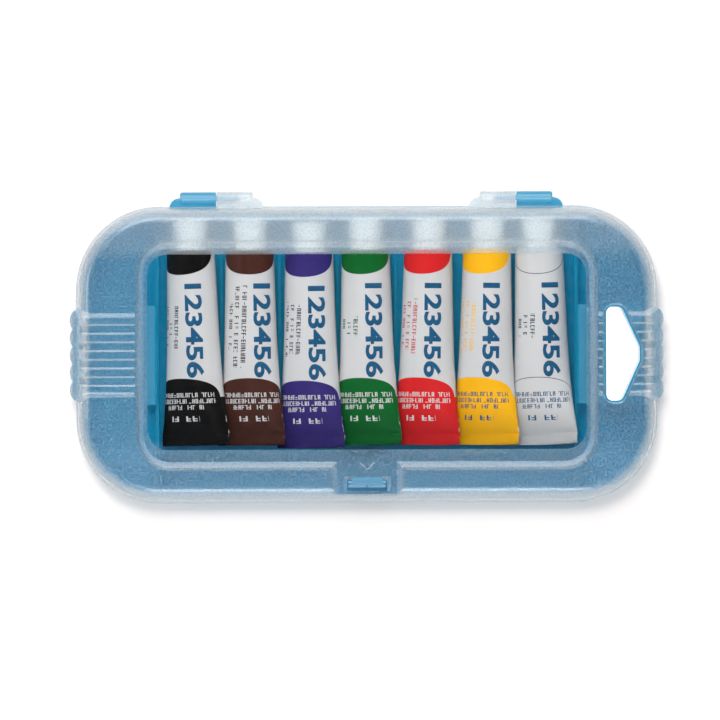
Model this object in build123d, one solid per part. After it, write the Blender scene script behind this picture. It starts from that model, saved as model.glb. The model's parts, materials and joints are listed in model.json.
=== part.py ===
from build123d import *
import math
import os

# A hinged pocket case of translucent plastic that holds seven tubes of gouache in a row.
# Frame: origin at the centre of the underside, +X to the carrying-handle end, +Y to the hinge, +Z up.
# All sizes are in millimetres. The case is sized from the tubes that it holds.

# ---- tubes ---------------------------------------------------------------------------------------
tube_diameter = 16.4        # round end of the sleeve
tube_sleeve_length = 66.0   # shoulder plane to the end of the folded strip
tube_wall = 0.35
fold_length = 3.6           # flat folded strip that closes the tube
fold_overlap = 0.45         # the strip starts this far inside the pinched sleeve
fold_thickness = 0.9
fold_tilt = 20.0            # degrees: each strip leans so that neighbours lie like shingles
pinch_height_power = 3.2    # how late the sleeve loses its height towards the fold
pinch_height_shape = 0.8
pinch_width_power = 4.0     # how late it spreads sideways into the fold
belly_swell = 2.9           # width that it gains evenly along its length before that
pinch_lean_power = 1.3      # how late it takes up the fold's tilt
sleeve_steps = 9            # stretches between the sections of a sleeve
cavity_share = 0.985        # of the soft length, where its inside has pinched shut
fill_gap = 0.15             # paint to the inside of the sleeve
shoulder_height = 2.6       # cone between sleeve and neck
neck_radius = 3.2
neck_length = 6.9
neck_bore_radius = 1.7
cap_length = 8.1
cap_open_radius = 4.75
cap_closed_radius = 6.0
cap_crown = 1.2             # thickness of the closed end
cap_edge = 0.5              # chamfer round the closed end
cap_clearance = 0.1         # radial, cap on neck
cap_rim_gap = 0.3           # cap rim to the shoulder cone
cap_flutes = 20
cap_flute_radius = 0.45
cap_flute_out = 0.1         # middle of a flute outside the cap's surface
# name, sideways place of the shoulder in its channel, yaw in degrees, place along the channel
tubes = [
    ("black", -0.45, 1.5, 0.0),
    ("sienna", -0.15, 0.5, 0.0),
    ("blue", 0.3, 0.5, -0.9),
    ("green", -0.25, 0.6, 0.0),
    ("red", 1.25, -0.8, 0.0),
    ("yellow", 1.5, -0.8, 0.0),
    ("white", -0.6, 1.2, 0.0),
]

# ---- case ----------------------------------------------------------------------------------------
tube_pitch = 19.8           # channel to channel
bay_side_room = 1.5         # outer channels to the dividers
end_chamber = 27.7          # divider to the outside of the case at each end
back_room = 4.1             # cap end to the outside of the case at the hinge side
front_room = 19.3           # folded end to the outside of the case at the latch side
corner_radius = 28.0
floor_thickness = 1.4
lid_wall = 1.3
base_wall = 1.5
tube_seat_gap = 0.1         # sleeve above the floor
tube_head_room = 1.05       # sleeve to the underside of the window
window_recess = 1.2         # window below the border around it
lid_draft = 1.2             # each side, skirt to border
shoulder_radius = 5.0       # rounding between the lid's walls and its border
base_draft = 2.0            # each side, rim to underside
base_edge_radius = 2.4
base_inner_radius = 1.65
base_inset = 0.35           # base rim inside the lid skirt
parting_height = 12.5       # base rim and hinge axis
parting_gap = 0.15
tongue_height = 1.4         # lip on the base rim that stands inside the lid skirt
tongue_thickness = 0.8
tongue_clearance = 0.35
tongue_root = 2.8           # how far the lip reaches down into the base wall
skirt_bead = 0.3            # bead round the bottom of the lid skirt
skirt_bead_height = 0.9

# ---- inside the base -----------------------------------------------------------------------------
divider_thickness = 1.2
divider_height = 8.6
channel_rib_thickness = 1.0
channel_rib_height = 4.6
channel_rib_end_gap = 6.0   # end of a rib to the stop wall
stop_wall_gap = 1.4         # folded ends to the stop wall
stop_wall_thickness = 1.3
stop_wall_height = 11.5
stop_notch_width = 14.4
stop_notch_height = 5.5
side_block_width = 3.6
side_block_length = 33.7
side_block_height = 12.0

# ---- window --------------------------------------------------------------------------------------
window_end_border = 20.8    # case end to the edge of the recess
window_side_border = 11.7   # case side to the edge of the recess
window_radius = 11.0
window_slope = 2.4          # run of the rounded recess wall
window_under_shift = 1.0    # the same wall on the underside lies this much further out
curve_steps = 8             # flats that make up one rounded wall
panel_margin = 4.2          # recess edge to the polished panel
panel_radius = 7.0
panel_step = 0.15

# ---- grips ---------------------------------------------------------------------------------------
grip_count = 5
grip_pitch = 5.9
grip_reach = 2.4            # crest of a scallop beyond the case end
grip_radius = 4.2
grip_rise = 0.8             # crest above the border
grip_valley = 0.8           # depth between crests
grip_flank = 0.35           # run of a crest's flank
grip_inner_end = 19.9       # case end to the inner end of the ridges
base_grip_inset = 0.5
base_grip_root = 10.0       # case end to the inner end of a base grip, before trimming
base_grip_bottom = 3.0

# ---- carrying handle hole ------------------------------------------------------------------------
handle_inner_edge = 17.2    # case end to the straight side of the hole
handle_depth = 11.4         # straight side to the flat apex
handle_half_height = 16.0
handle_shoulder = 5.2       # length of the two ends before the slanting sides begin
handle_apex_half = 2.3
handle_corner_radius = 2.3
handle_wall = 1.3           # base wall round the hole
handle_lip = 0.5            # lid's hole outside the base's hole
collar_wall = 1.3
collar_depth = 2.6          # lid's collar below the border
collar_gap = 0.15           # collar to the top of the base wall
collar_rounding = 0.7

# ---- hinges --------------------------------------------------------------------------------------
hinge_spacing = 102.0       # centre to centre
hinge_web_width = 32.0
hinge_web_radius = 3.5
hinge_web_thickness = 1.75
hinge_barrel_length = 24.7
hinge_barrel_radius = 2.0
hinge_offset = 3.2          # axis behind the lid skirt
hinge_split = 0.3
hinge_pin_radius = 1.0
hinge_pin_length = 7.0
hinge_pin_root = 6.2        # how far the pin starts inside the base's knuckle
hinge_pin_clearance = 0.06
hinge_pin_end_gap = 0.6
hinge_end_rounding = 0.8

# ---- latch ---------------------------------------------------------------------------------------
bay_half_width = 9.9        # floor of the latch bay
bay_slope = 2.1             # run of its side walls
slot_half_width = 7.9
slot_inner_edge = 8.8       # front of the case to the slot's hinge-side edge
slot_length = 5.0
slot_bevel = 1.1
slot_bevel_depth = 0.9
hook_half_width = 6.3
barb_half_width = 5.25
hook_thickness = 1.5
hook_top_slope = 0.5        # how far back the crown of the hook starts
hook_slot_gap = 0.4         # hook to the slot's bevelled edge
barb_reach = 1.15           # barb over the slot's edge
barb_gap = 0.2
barb_tip = 0.25
hook_crown = 0.4
hook_nose_reach = 0.8
hook_nose_drop = 0.3        # nose below the underside of the lid
hook_nose_thickness = 1.0
hook_dimple_radius = 0.4
hook_pivot_height = 3.2
hook_pivot_radius = 1.0
hook_pivot_clearance = 0.06
hook_cheek_thickness = 1.4
hook_cheek_gap = 0.2
hook_cheek_radius = 2.0
chevron_half_width = 2.4
chevron_length = 2.3
chevron_line = 0.5
chevron_rise = 0.25
chevron_from_front = 11.2   # front of the case to the chevron's point
overshoot = 1.0             # cutters run this far past what they cut
near = 0.01                 # two places closer than this are the same

# ---- derived places ------------------------------------------------------------------------------
tube_count = len(tubes)
tube_radius = tube_diameter / 2
soft_length = tube_sleeve_length - fold_length
cavity_length = cavity_share * soft_length
fold_width = math.pi * tube_radius - fold_thickness
cap_start = shoulder_height + cap_rim_gap
tube_overall = tube_sleeve_length + cap_start + cap_length
bay_length = tube_count * tube_pitch + 2 * bay_side_room
case_length = bay_length + 2 * end_chamber
case_depth = tube_overall + back_room + front_room
half_length = case_length / 2
half_depth = case_depth / 2
cap_end_y = half_depth - back_room
shoulder_y = cap_end_y - cap_start - cap_length
fold_end_y = shoulder_y - tube_sleeve_length
tube_axis_z = floor_thickness + tube_seat_gap + tube_radius
window_under = floor_thickness + tube_seat_gap + tube_diameter + tube_head_room
window_top = window_under + lid_wall
border_height = window_top + window_recess
crest_height = border_height + grip_rise
skirt_height = parting_height + parting_gap
hinge_y = half_depth + hinge_offset
window_half_length = half_length - window_end_border
window_half_depth = half_depth - window_side_border
slot_inner_y = -half_depth + slot_inner_edge
slot_outer_y = slot_inner_y - slot_length
divider_x = bay_length / 2
stop_wall_y = fold_end_y - stop_wall_gap
handle_x = half_length - handle_inner_edge
hook_back_y = slot_inner_y - slot_bevel - hook_slot_gap
hook_front_y = hook_back_y - hook_thickness
hook_pivot_y = (hook_back_y + hook_front_y) / 2
hook_top_z = window_top + hook_crown


def block(x_range, y_range, z_range):
    """A plain box between the given limits."""
    size = [high - low for low, high in (x_range, y_range, z_range)]
    corner = Pos(x_range[0], y_range[0], z_range[0])
    return corner * Box(*size, align=(Align.MIN, Align.MIN, Align.MIN))


def slab(inset_low, inset_high, z_low, z_high):
    """The case outline as a block whose walls lean in evenly from inset_low to inset_high."""
    def outline(inset, z):
        face = RectangleRounded(case_length - 2 * inset, case_depth - 2 * inset, corner_radius - inset)
        return Plane.XY.offset(z) * face
    return Part() + loft([outline(inset_low, z_low), outline(inset_high, z_high)], ruled=True)


def round_top(body, radius):
    """Rounds the edges of a body's top face."""
    return Part() + fillet(body.faces().sort_by(Axis.Z)[-1].edges(), radius)


def round_bottom(body, radius):
    """Rounds the edges of a body's bottom face."""
    return Part() + fillet(body.faces().sort_by(Axis.Z)[0].edges(), radius)


def x_cylinder(x_from, x_to, y, z, radius):
    """A round bar along X between two places."""
    return Pos((x_from + x_to) / 2, y, z) * Rot(0, 90, 0) * Cylinder(radius, abs(x_to - x_from))


def wall_curve(run, low, high):
    """Points (run, height) down a rounded step: level at the top, steep half way, level at the bottom."""
    shares = [i / curve_steps for i in range(curve_steps + 1)]
    return [(run * u, high - (high - low) * (1 - math.cos(math.pi * u)) / 2) for u in shares]


def profile_bar(points, half_width, axis="X"):
    """A closed outline of (across, up) points, drawn out to both sides of the middle."""
    plane = Plane.YZ if axis == "X" else Plane.XZ
    face = plane * make_face(Polyline(*points, close=True))
    return Part() + extrude(face, half_width, both=True)


# ---- lid -----------------------------------------------------------------------------------------
def lid_shell_outer():
    body = slab(0, lid_draft, skirt_height, border_height)
    return round_top(body, shoulder_radius)


def lid_shell_inner():
    ceiling = border_height - lid_wall
    lean = lid_draft * (ceiling - skirt_height) / (border_height - skirt_height)
    body = slab(lid_wall, lid_wall + lean, skirt_height, ceiling)
    mouth = slab(lid_wall, lid_wall, skirt_height - overshoot, skirt_height)
    return round_top(body, shoulder_radius - lid_wall) + mouth


def window_outline(inset, z):
    length, depth = 2 * (window_half_length - inset), 2 * (window_half_depth - inset)
    return Plane.XY.offset(z) * RectangleRounded(length, depth, window_radius - inset)


def window_recess_cut():
    """The sunk window: rounded wall, flat ledge and the slightly deeper polished panel."""
    steps = wall_curve(window_slope, window_top, border_height)
    sides = loft([window_outline(inset, z) for inset, z in reversed(steps)], ruled=True)
    above = extrude(window_outline(0, border_height), crest_height - border_height + overshoot)
    panel = RectangleRounded(2 * (window_half_length - panel_margin),
                             2 * (window_half_depth - panel_margin), panel_radius)
    panel_cut = extrude(Plane.XY.offset(window_top - panel_step) * panel, panel_step + overshoot / 2)
    return Part() + sides + above + panel_cut


def bay_section(shift, low, high, top):
    """Section of the latch bay: level floor and two rounded side walls, closed at height top."""
    half = [(bay_half_width + bay_slope - run + shift, z) for run, z in wall_curve(bay_slope, low, high)]
    right = [(half[0][0], top)] + half
    return right + [(-x, z) for x, z in reversed(right)]


def latch_bay_cut():
    """The channel from the window to the front edge, with rounded sides."""
    start_y = -window_half_depth + window_slope
    points = bay_section(0, window_top, border_height, crest_height + overshoot)
    face = Plane.XZ.offset(-start_y) * make_face(Polyline(*points, close=True))
    return Part() + extrude(face, half_depth + start_y + overshoot)


def window_pan():
    """Material under the recess and the latch bay."""
    ceiling = border_height - lid_wall
    steps = wall_curve(window_slope, window_under, ceiling)
    rings = [window_outline(inset - window_under_shift, z) for inset, z in reversed(steps)]
    sides = loft(rings, ruled=True)
    above = extrude(window_outline(-window_under_shift, ceiling), lid_wall)
    points = bay_section(window_under_shift, window_under, ceiling, border_height)
    face = Plane.XZ * make_face(Polyline(*points, close=True))
    return Part() + sides + above + extrude(face, half_depth)


def slot_cut():
    """Slot for the hook: bevelled on the hinge side and at both ends."""
    def mouth(inset, z):
        length = slot_length - inset
        face = Rectangle(2 * (slot_half_width - inset), length, align=(Align.CENTER, Align.MIN))
        return Pos(0, slot_outer_y, z) * face
    bevel = loft([mouth(slot_bevel, window_top - slot_bevel_depth), mouth(0, window_top)], ruled=True)
    through = extrude(mouth(slot_bevel, window_under - overshoot), lid_wall + 2 * overshoot)
    above = extrude(mouth(0, window_top), overshoot)
    return Part() + bevel + through + above


def chevron():
    """Raised V on the floor of the latch bay, pointing to the slot."""
    tip_y = -half_depth + chevron_from_front
    mark = Part()
    for side in (-1, 1):
        line = Line((0, tip_y), (side * chevron_half_width, tip_y + chevron_length))
        stroke = trace(line, chevron_line)
        mark += extrude(Plane.XY.offset(window_top - chevron_rise) * stroke, 2 * chevron_rise)
    return mark


def grip_plan(inset, side, inner_x):
    """Scalloped plan of one grip, from inner_x out to the crests."""
    crest_x = half_length + grip_reach - grip_radius
    face = Sketch()
    for i in range(grip_count):
        y = (i - (grip_count - 1) / 2) * grip_pitch
        face += Pos(side * crest_x, y) * Circle(grip_radius - inset)
    half = grip_count * grip_pitch / 2 - inset
    width = crest_x - inner_x
    face += Pos(side * (inner_x + width / 2), 0) * Rectangle(width, 2 * half)
    return face


def grip_side_profile(drop, side):
    """Side view of the grip's envelope, with its top lowered by drop."""
    top = crest_height - drop
    outer = half_length + grip_reach
    inner = half_length - grip_inner_end
    radius = shoulder_radius + grip_rise - drop
    path = [
        Line((inner, skirt_height), (inner, top)),
        Line((inner, top), (outer - radius, top)),
        RadiusArc((outer - radius, top), (outer, top - radius), radius),
        Line((outer, top - radius), (outer, skirt_height)),
        Line((outer, skirt_height), (inner, skirt_height)),
    ]
    face = Plane.XZ * make_face(path)
    bar = Part() + extrude(face, half_depth / 2, both=True)
    return bar if side > 0 else bar.mirror(Plane.YZ)


def grip_end_profile():
    """End view of the grip's envelope: level over the crests and rounded down past the outer ones."""
    half = (grip_count - 1) / 2 * grip_pitch + grip_radius
    low = skirt_height - grip_radius
    face = Rectangle(2 * half, crest_height - low, align=(Align.CENTER, Align.MAX))
    face = Pos(0, crest_height) * fillet(face.vertices(), grip_radius)
    return Part() + extrude(Plane.YZ * face, half_length + grip_reach, both=True)


def grip(side):
    """One end grip: a scalloped pad with ridges across its top."""
    inner_x = half_length - grip_inner_end
    pad = extrude(Plane.XY.offset(skirt_height) * grip_plan(0, side, inner_x), crest_height - skirt_height)
    pad = (Part() + pad) & grip_side_profile(0, side) & grip_end_profile()
    core = grip_side_profile(grip_valley, side)
    half_crest = grip_pitch / 4
    for i in range(grip_count - 1):
        y = (i + 1 - grip_count / 2) * grip_pitch
        low, high = half_crest - grip_flank, half_crest + grip_flank
        top, floor = crest_height + overshoot, crest_height - grip_valley
        run = (high - low) * (top - floor) / grip_valley
        points = [(y - low, floor), (y + low, floor), (y + low + run, top), (y - low - run, top)]
        valley = profile_bar(points, case_length)
        below = block((-case_length, case_length), (y - low, y + low), (0, floor))
        pad -= (valley + below) - core - block((-inner_x, inner_x), (-half_depth, half_depth), (0, top))
    return pad


def handle_outline(offset_by):
    """Outline of the handle hole: straight inner side, slanting outer sides and a flat apex."""
    x0, x1 = handle_x, handle_x + handle_depth
    xs = handle_x + handle_shoulder
    points = [(x0, -handle_half_height), (xs, -handle_half_height), (x1, -handle_apex_half),
              (x1, handle_apex_half), (xs, handle_half_height), (x0, handle_half_height)]
    face = Sketch() + make_face(Polyline(*points, close=True))
    face = Sketch() + fillet(face.vertices(), handle_corner_radius)
    return offset(face, offset_by) if offset_by else face


def handle_collar():
    """Lid collar round the handle hole: a short wall below the border with a rounded mouth."""
    wall = handle_outline(handle_lip + collar_wall)
    return Part() + extrude(Plane.XY.offset(border_height - collar_depth) * wall, collar_depth)


def handle_lid_cut():
    """The lid's hole with a rounded mouth."""
    low = border_height - collar_depth - overshoot
    shaft = extrude(Plane.XY.offset(low) * handle_outline(handle_lip), crest_height - low + overshoot)
    rings = []
    for i in range(curve_steps + 1):
        turn = math.pi / 2 * i / curve_steps
        out, rise = collar_rounding * (1 - math.cos(turn)), collar_rounding * math.sin(turn)
        plane = Plane.XY.offset(border_height - collar_rounding + rise)
        rings.append(plane * handle_outline(handle_lip + out))
    mouth = handle_outline(handle_lip + collar_rounding)
    above = extrude(Plane.XY.offset(border_height) * mouth, crest_height - border_height + overshoot)
    return Part() + shaft + loft(rings, ruled=True) + above


def hinge_web(x_end, x_split, z_range):
    """Plate from a case wall to a barrel, with its outer corner rounded."""
    x_range = sorted((x_end, x_split))
    plate = block(x_range, (half_depth - lid_wall / 2, hinge_y), z_range)
    corner = [e for e in plate.edges().filter_by(Axis.Z)
              if abs(e.center().X - x_end) < near and e.center().Y > hinge_y - near]
    return Part() + fillet(corner, hinge_web_radius)


def hinge_barrel(x_end, x_split, rounding):
    """Round knuckle between two X places; its outer end is rounded."""
    bar = x_cylinder(x_end, x_split, hinge_y, parting_height, hinge_barrel_radius)
    ends = [e for e in bar.edges().filter_by(GeomType.CIRCLE) if abs(e.center().X - x_end) < near]
    return Part() + fillet(ends, rounding)


def hinge_places():
    """Centre of each hinge, and the direction in X from its base half to its lid half."""
    return [(-hinge_spacing / 2, 1), (hinge_spacing / 2, -1)]


def hinge_bore(centre, inward):
    end = centre + inward * (hinge_split / 2 + hinge_pin_length + hinge_pin_end_gap)
    return x_cylinder(centre, end, hinge_y, parting_height, hinge_pin_radius + hinge_pin_clearance)


def hinge_pin(centre, inward):
    """Stub from inside the base's knuckle into the lid's."""
    root = centre - inward * hinge_pin_root
    end = centre + inward * (hinge_split / 2 + hinge_pin_length)
    return x_cylinder(root, end, hinge_y, parting_height, hinge_pin_radius)


def lid():
    outer = lid_shell_outer()
    inner = lid_shell_inner()
    bead = slab(-skirt_bead, 0, skirt_height, skirt_height + skirt_bead_height) - inner
    body = outer - inner + (window_pan() & outer) + bead
    for side in (-1, 1):
        body += grip(side) - inner
    body += handle_collar() & (outer + grip(1))
    body -= window_recess_cut()
    body -= latch_bay_cut()
    body -= slot_cut()
    body -= handle_lid_cut()
    body += chevron()
    for centre, inward in hinge_places():
        split = centre + inward * hinge_split / 2
        web_z = (skirt_height, skirt_height + hinge_web_thickness)
        body += hinge_web(centre + inward * hinge_web_width / 2, split, web_z)
        body += hinge_barrel(centre + inward * hinge_barrel_length / 2, split, hinge_end_rounding)
        body -= hinge_bore(centre, inward)
    return body


# ---- base ----------------------------------------------------------------------------------------
def base_shell_inner():
    lean = base_draft * (parting_height - floor_thickness) / parting_height
    rim = base_inset + base_wall
    body = slab(rim + lean, rim, floor_thickness, parting_height)
    mouth = slab(rim, rim, parting_height, parting_height + tongue_height + overshoot)
    return round_bottom(body, base_inner_radius) + mouth


def base_shell():
    return round_bottom(slab(base_inset + base_draft, base_inset, 0, parting_height), base_edge_radius)


def rim_tongue():
    outer = lid_wall + tongue_clearance
    top = parting_height + tongue_height
    low = parting_height - tongue_root
    inner = outer + tongue_thickness
    return slab(outer, outer, low, top) - slab(inner, inner, low, top)


def base_grip(side):
    inner_x = half_length - base_grip_root
    plan = grip_plan(base_grip_inset, side, inner_x)
    low, high = base_grip_bottom, parting_height
    top_face = Plane.XY.offset(high) * plan
    return Part() + extrude(top_face, low - high)


def inside_limits():
    """Everything inside the base wall, for trimming the inner ribs."""
    rim = base_inset + base_wall / 2
    return slab(rim + base_draft, rim, floor_thickness / 2, parting_height)


def base_dividers():
    bars = Part()
    outer = divider_x + divider_thickness
    half = side_block_length / 2
    for side in (-1, 1):
        x_range = sorted((side * divider_x, side * outer))
        bars += block(x_range, (-half_depth, half_depth), (floor_thickness / 2, divider_height))
        x_range = sorted((side * (outer - divider_thickness / 2), side * (outer + side_block_width)))
        bars += block(x_range, (-half, half), (floor_thickness / 2, side_block_height))
    return bars


def base_channel_ribs():
    ribs = Part()
    half = channel_rib_thickness / 2
    for i in range(tube_count - 1):
        x = (i + 1 - tube_count / 2) * tube_pitch
        ribs += block((x - half, x + half), (stop_wall_y + channel_rib_end_gap, half_depth),
                      (floor_thickness / 2, channel_rib_height))
    return ribs


def base_stop_wall():
    front, back = stop_wall_y - stop_wall_thickness, stop_wall_y
    half = divider_x + divider_thickness / 2
    wall = block((-half, half), (front, back), (floor_thickness / 2, stop_wall_height))
    notch_z = (stop_notch_height, stop_wall_height + overshoot)
    half = stop_notch_width / 2
    return wall - block((-half, half), (front - overshoot, back + overshoot), notch_z)


def handle_boss():
    """Wall round the handle hole, from the underside up to the lid's collar."""
    return Part() + extrude(handle_outline(handle_wall), border_height - collar_depth - collar_gap)


def handle_base_cut():
    return Part() + extrude(Plane.XY.offset(-overshoot) * handle_outline(0), border_height + overshoot)


def hook_cheeks():
    """Two ears on the floor that carry the hook's root."""
    ears = Part()
    y_range = (hook_pivot_y - hook_cheek_radius, hook_pivot_y + hook_cheek_radius)
    for side in (-1, 1):
        face = side * (hook_half_width + hook_cheek_gap)
        back = face + side * hook_cheek_thickness
        ears += block(sorted((face, back)), y_range, (floor_thickness / 2, hook_pivot_height))
        ears += x_cylinder(face, back, hook_pivot_y, hook_pivot_height, hook_cheek_radius)
    reach = 2 * (hook_half_width + hook_cheek_gap + hook_cheek_thickness)
    return ears - x_cylinder(-reach, reach, hook_pivot_y, hook_pivot_height,
                             hook_pivot_radius + hook_pivot_clearance)


def base_tray():
    limits = inside_limits()
    inner = base_shell_inner()
    body = base_shell() - inner
    body += rim_tongue()
    for side in (-1, 1):
        body += base_grip(side) - inner
    body += (base_dividers() + base_channel_ribs() + base_stop_wall()) & limits
    body += handle_boss()
    body -= handle_base_cut()
    body += hook_cheeks()
    for centre, inward in hinge_places():
        outward = -inward
        split = centre + outward * hinge_split / 2
        web_z = (parting_height - hinge_web_thickness, parting_height)
        body += hinge_web(centre + outward * hinge_web_width / 2, split, web_z)
        body += hinge_barrel(centre + outward * hinge_barrel_length / 2, split, hinge_end_rounding)
        body += hinge_pin(centre, inward)
    return body


# ---- latch hook ----------------------------------------------------------------------------------
def latch_hook():
    """The springy hook: root on its pivot, blade up through the lid's slot, barb over the slot's edge."""
    bevel_run = slot_bevel / slot_bevel_depth
    under = window_top - slot_bevel_depth + barb_gap
    tip_y = hook_back_y + barb_reach
    tip_z = under + (barb_reach - hook_slot_gap / 2) / bevel_run
    nose_top = window_under - hook_nose_drop
    nose_y = hook_front_y - hook_nose_reach
    blade = [(hook_back_y, hook_pivot_height), (hook_back_y, hook_top_z - 2 * hook_crown),
             (hook_front_y + hook_thickness / 2, hook_top_z - hook_crown),
             (hook_front_y, nose_top + hook_nose_drop), (nose_y, nose_top),
             (nose_y, nose_top - hook_nose_thickness), (hook_front_y, nose_top - 2 * hook_nose_thickness),
             (hook_front_y, hook_pivot_height)]
    barb = [(hook_front_y, under), (hook_back_y, under), (tip_y, tip_z), (tip_y, tip_z + barb_tip),
            (hook_back_y - hook_top_slope, hook_top_z), (hook_front_y, hook_top_z - hook_crown)]
    body = profile_bar(blade, hook_half_width) + profile_bar(barb, barb_half_width)
    stub = hook_half_width + hook_cheek_gap + hook_cheek_thickness
    body += x_cylinder(-stub, stub, hook_pivot_y, hook_pivot_height, hook_pivot_radius)
    dimple_y = hook_front_y - hook_nose_reach / 2
    body -= Pos(0, dimple_y, nose_top) * Cylinder(hook_dimple_radius, hook_nose_thickness)
    return body


# ---- tubes, built along +Y with the shoulder plane at the origin ----------------------------------
def sleeve_section(s, shrink):
    """Cross-section of the sleeve at distance s behind the shoulder plane."""
    t = min(s / soft_length, 1)
    roundness = (1 - t ** pinch_height_power) ** pinch_height_shape
    height = fold_thickness + (tube_diameter - fold_thickness) * roundness
    spread = fold_width - tube_diameter - belly_swell
    width = tube_diameter + belly_swell * t + spread * t ** pinch_width_power
    lean = math.radians(fold_tilt * t ** pinch_lean_power)
    plane = Plane(origin=(0, -s, 0), x_dir=(math.cos(lean), 0, math.sin(lean)), z_dir=(0, 1, 0))
    return plane * Ellipse(width / 2 - shrink, height / 2 - shrink)


def sleeve_loft(shrink, s_start, s_end):
    step = (s_end - s_start) / sleeve_steps
    return Part() + loft([sleeve_section(s_start + step * i, shrink) for i in range(sleeve_steps + 1)])


def tube_sleeve():
    """Thin sleeve, round at the shoulder and pinched flat at the folded strip."""
    body = sleeve_loft(0, 0, soft_length)
    cavity = sleeve_loft(tube_wall, 0, cavity_length)
    align = (Align.CENTER, Align.MAX, Align.CENTER)
    strip = Box(fold_width, fold_length + fold_overlap, fold_thickness, align=align)
    strip = Pos(0, fold_overlap - soft_length, 0) * Rot(0, -fold_tilt, 0) * strip
    return body - cavity + strip


def tube_paint():
    """The paint, which fills the sleeve up to a small gap."""
    return sleeve_loft(tube_wall + fill_gap, fill_gap, cavity_length - fill_gap)


def tube_nozzle():
    """Shoulder cone and threaded neck, bored through."""
    neck_end = shoulder_height + neck_length
    points = [(neck_bore_radius, 0), (tube_radius, 0), (neck_radius, shoulder_height),
              (neck_radius, neck_end), (neck_bore_radius, neck_end)]
    return Part() + revolve(make_face(Polyline(*points, close=True)), Axis.Y)


def tube_cap():
    """Fluted cap, wider at its closed end, bored to turn on the neck."""
    bore = neck_radius + cap_clearance
    end = cap_start + cap_length
    depth = end - cap_crown
    points = [(bore, cap_start), (cap_open_radius, cap_start), (cap_closed_radius, end - cap_edge),
              (cap_closed_radius - cap_edge, end), (0, end), (0, depth), (bore, depth)]
    body = Part() + revolve(make_face(Polyline(*points, close=True)), Axis.Y)
    lean = math.degrees(math.atan2(cap_closed_radius - cap_open_radius, cap_length - cap_edge))
    groove = Part()
    for i in range(cap_flutes):
        turn = Rot(0, 360 * i / cap_flutes, 0)
        start = Pos(0, cap_start, cap_open_radius + cap_flute_out) * Rot(lean, 0, 0) * Rot(-90, 0, 0)
        groove += turn * start * Cylinder(cap_flute_radius, 2 * cap_length)
    return body - groove


def tube_place(index):
    """Location of a tube: shoulder plane in its channel, turned by its yaw."""
    _, shift_x, yaw, shift_y = tubes[index]
    x = (index - (tube_count - 1) / 2) * tube_pitch + shift_x
    return Pos(x, shoulder_y + shift_y, tube_axis_z) * Rot(0, 0, yaw)


def build():
    pieces = {"base_tray": base_tray(), "lid": lid(), "latch_hook": latch_hook()}
    shapes = {"sleeve": tube_sleeve(), "nozzle": tube_nozzle(), "cap": tube_cap(), "paint": tube_paint()}
    for index, (name, *_) in enumerate(tubes):
        for kind, shape in shapes.items():
            pieces[f"tube_{name}_{kind}"] = tube_place(index) * shape
    return pieces


os.makedirs("parts", exist_ok=True)
for node, piece in build().items():
    export_step(piece, f"parts/{node}.step")
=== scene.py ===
# %% [markdown]
# # A pocket case of gouache tubes
# The real object is a flat case of soft plastic: a blue see-through tray, a clear frosted lid with a sunk
# polished window, and seven small tubes of gouache in a row. The hard parts are already built at their real
# size. This lesson loads them, makes the printed foil of the tubes anew, and gives every surface its finish.
# Lengths are in metres, and mm turns millimetres into them.

# %% Load the parts
import json
import math
import bpy
from mathutils import Matrix, Vector


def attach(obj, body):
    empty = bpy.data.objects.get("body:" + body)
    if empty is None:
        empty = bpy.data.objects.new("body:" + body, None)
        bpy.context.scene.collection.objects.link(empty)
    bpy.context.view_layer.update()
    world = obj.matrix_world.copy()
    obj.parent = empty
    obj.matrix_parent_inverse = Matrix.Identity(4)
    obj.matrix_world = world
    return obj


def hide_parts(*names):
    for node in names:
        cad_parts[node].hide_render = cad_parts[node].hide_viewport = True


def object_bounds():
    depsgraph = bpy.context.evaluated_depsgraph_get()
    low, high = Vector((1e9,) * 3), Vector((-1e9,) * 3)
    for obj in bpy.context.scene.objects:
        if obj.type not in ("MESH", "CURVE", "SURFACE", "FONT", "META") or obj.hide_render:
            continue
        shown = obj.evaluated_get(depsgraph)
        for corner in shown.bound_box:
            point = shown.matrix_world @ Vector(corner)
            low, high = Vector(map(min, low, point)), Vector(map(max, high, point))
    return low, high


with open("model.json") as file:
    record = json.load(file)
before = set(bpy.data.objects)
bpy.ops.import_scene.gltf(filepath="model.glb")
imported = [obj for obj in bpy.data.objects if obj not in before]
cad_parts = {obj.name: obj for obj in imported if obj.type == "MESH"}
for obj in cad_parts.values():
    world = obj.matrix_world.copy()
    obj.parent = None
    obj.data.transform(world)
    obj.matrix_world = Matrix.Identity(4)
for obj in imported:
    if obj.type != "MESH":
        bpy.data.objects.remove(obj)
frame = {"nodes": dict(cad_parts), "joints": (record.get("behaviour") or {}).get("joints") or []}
parts = frame["nodes"]
cad_low, cad_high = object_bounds()
mm = 0.001
print("parts:", len(parts), "box in mm:", [round(v / mm, 2) for v in cad_high - cad_low])

# %% [markdown]
# ## Camera
# The case is seen from straight above, from far away, so that its walls hardly lean outwards. A camera
# without perspective would hide the walls altogether, and a near one would show too much of them, so a long
# lens on a high camera is used. The distance fixes the lens: the lid's top has to come out at 2.95 pixels a
# millimetre in a square picture 720 pixels wide.

# %% Camera
picture_px = 720
px_per_mm = 2.95
case_centre_px = (366.8, 354.5)
camera_height = 2.4
camera_roll = math.radians(-0.2)
sensor_mm = 36.0
sight_end = 20.0

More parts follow.
